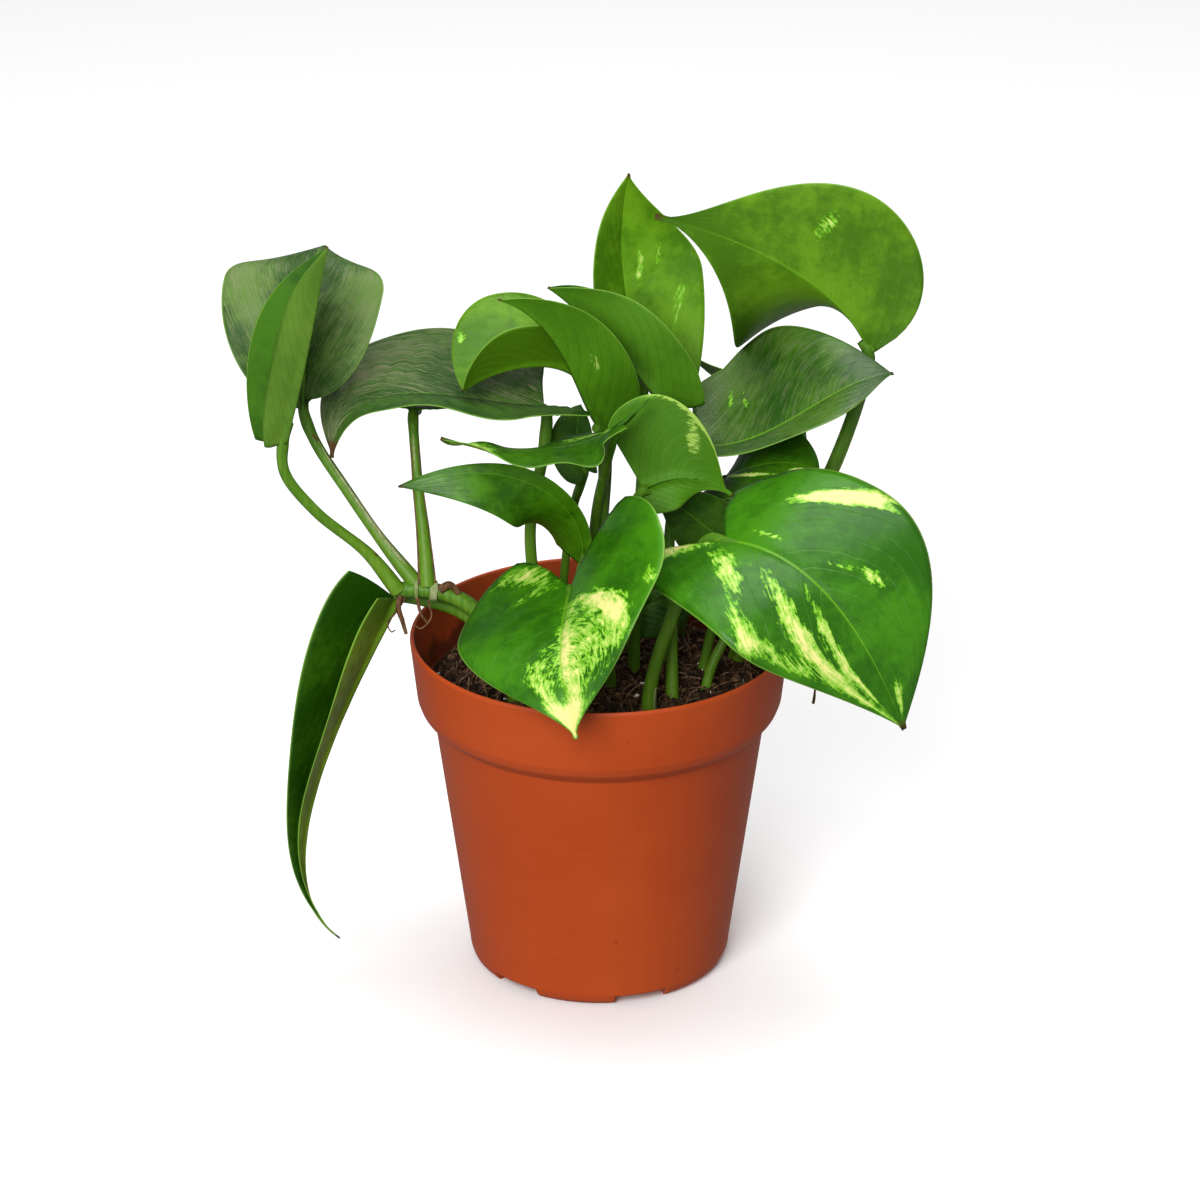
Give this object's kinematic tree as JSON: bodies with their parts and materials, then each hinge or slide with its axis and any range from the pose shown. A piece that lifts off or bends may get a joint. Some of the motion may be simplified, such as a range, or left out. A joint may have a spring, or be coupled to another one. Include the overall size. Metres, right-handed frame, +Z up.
{
  "type": "potted trailing pothos",
  "caption": "Trailing foliage plant with heart-shaped, partly variegated leaves on slender stalks, growing from soil in a tapered plastic nursery pot with a wide collar.",
  "frame": {"origin": "middle of the pot's underside, on the surface the pot stands on", "axes": "+Z up through the pot; the side of the plant that faces the viewer is -Y; +X to the viewer's right"},
  "size_m": [0.1924, 0.136, 0.2212],
  "materials": {
    "pot_plastic": "satin terracotta-coloured plastic",
    "peat_soil": "rough peat with fibres",
    "green_stem": "smooth green stem",
    "leaf_variegated": "glossy, marbled with cream",
    "leaf_fresh": "glossy",
    "leaf_light": "satin",
    "leaf_deep": "glossy",
    "leaf_dark": "glossy, greyish sheen"
  },
  "bodies": {
    "root": {"pot": "pot_plastic", "soil": "peat_soil", "trailing_stem": "green_stem", "leaf_front_centre": "leaf_variegated", "leaf_front_right": "leaf_variegated", "leaf_hanging_left": "leaf_deep", "leaf_dark_left": "leaf_dark", "leaf_far_left": "leaf_dark", "leaf_rolled_left": "leaf_light", "leaf_rear_left": "leaf_dark", "leaf_left_front": "leaf_fresh", "leaf_edge_on": "leaf_deep", "leaf_centre": "leaf_fresh", "leaf_low_centre": "leaf_dark", "leaf_right": "leaf_dark", "leaf_right_rear": "leaf_deep", "leaf_low_right": "leaf_deep", "leaf_top_centre": "leaf_light", "leaf_top_right": "leaf_light", "leaf_upper_front": "leaf_fresh", "leaf_upper_rear": "leaf_fresh", "leaf_arched": "leaf_light", "leaf_small_grey": "leaf_dark", "leaf_in_pot": "leaf_dark", "leaf_rear": "leaf_deep"}
  },
  "joints": []
}
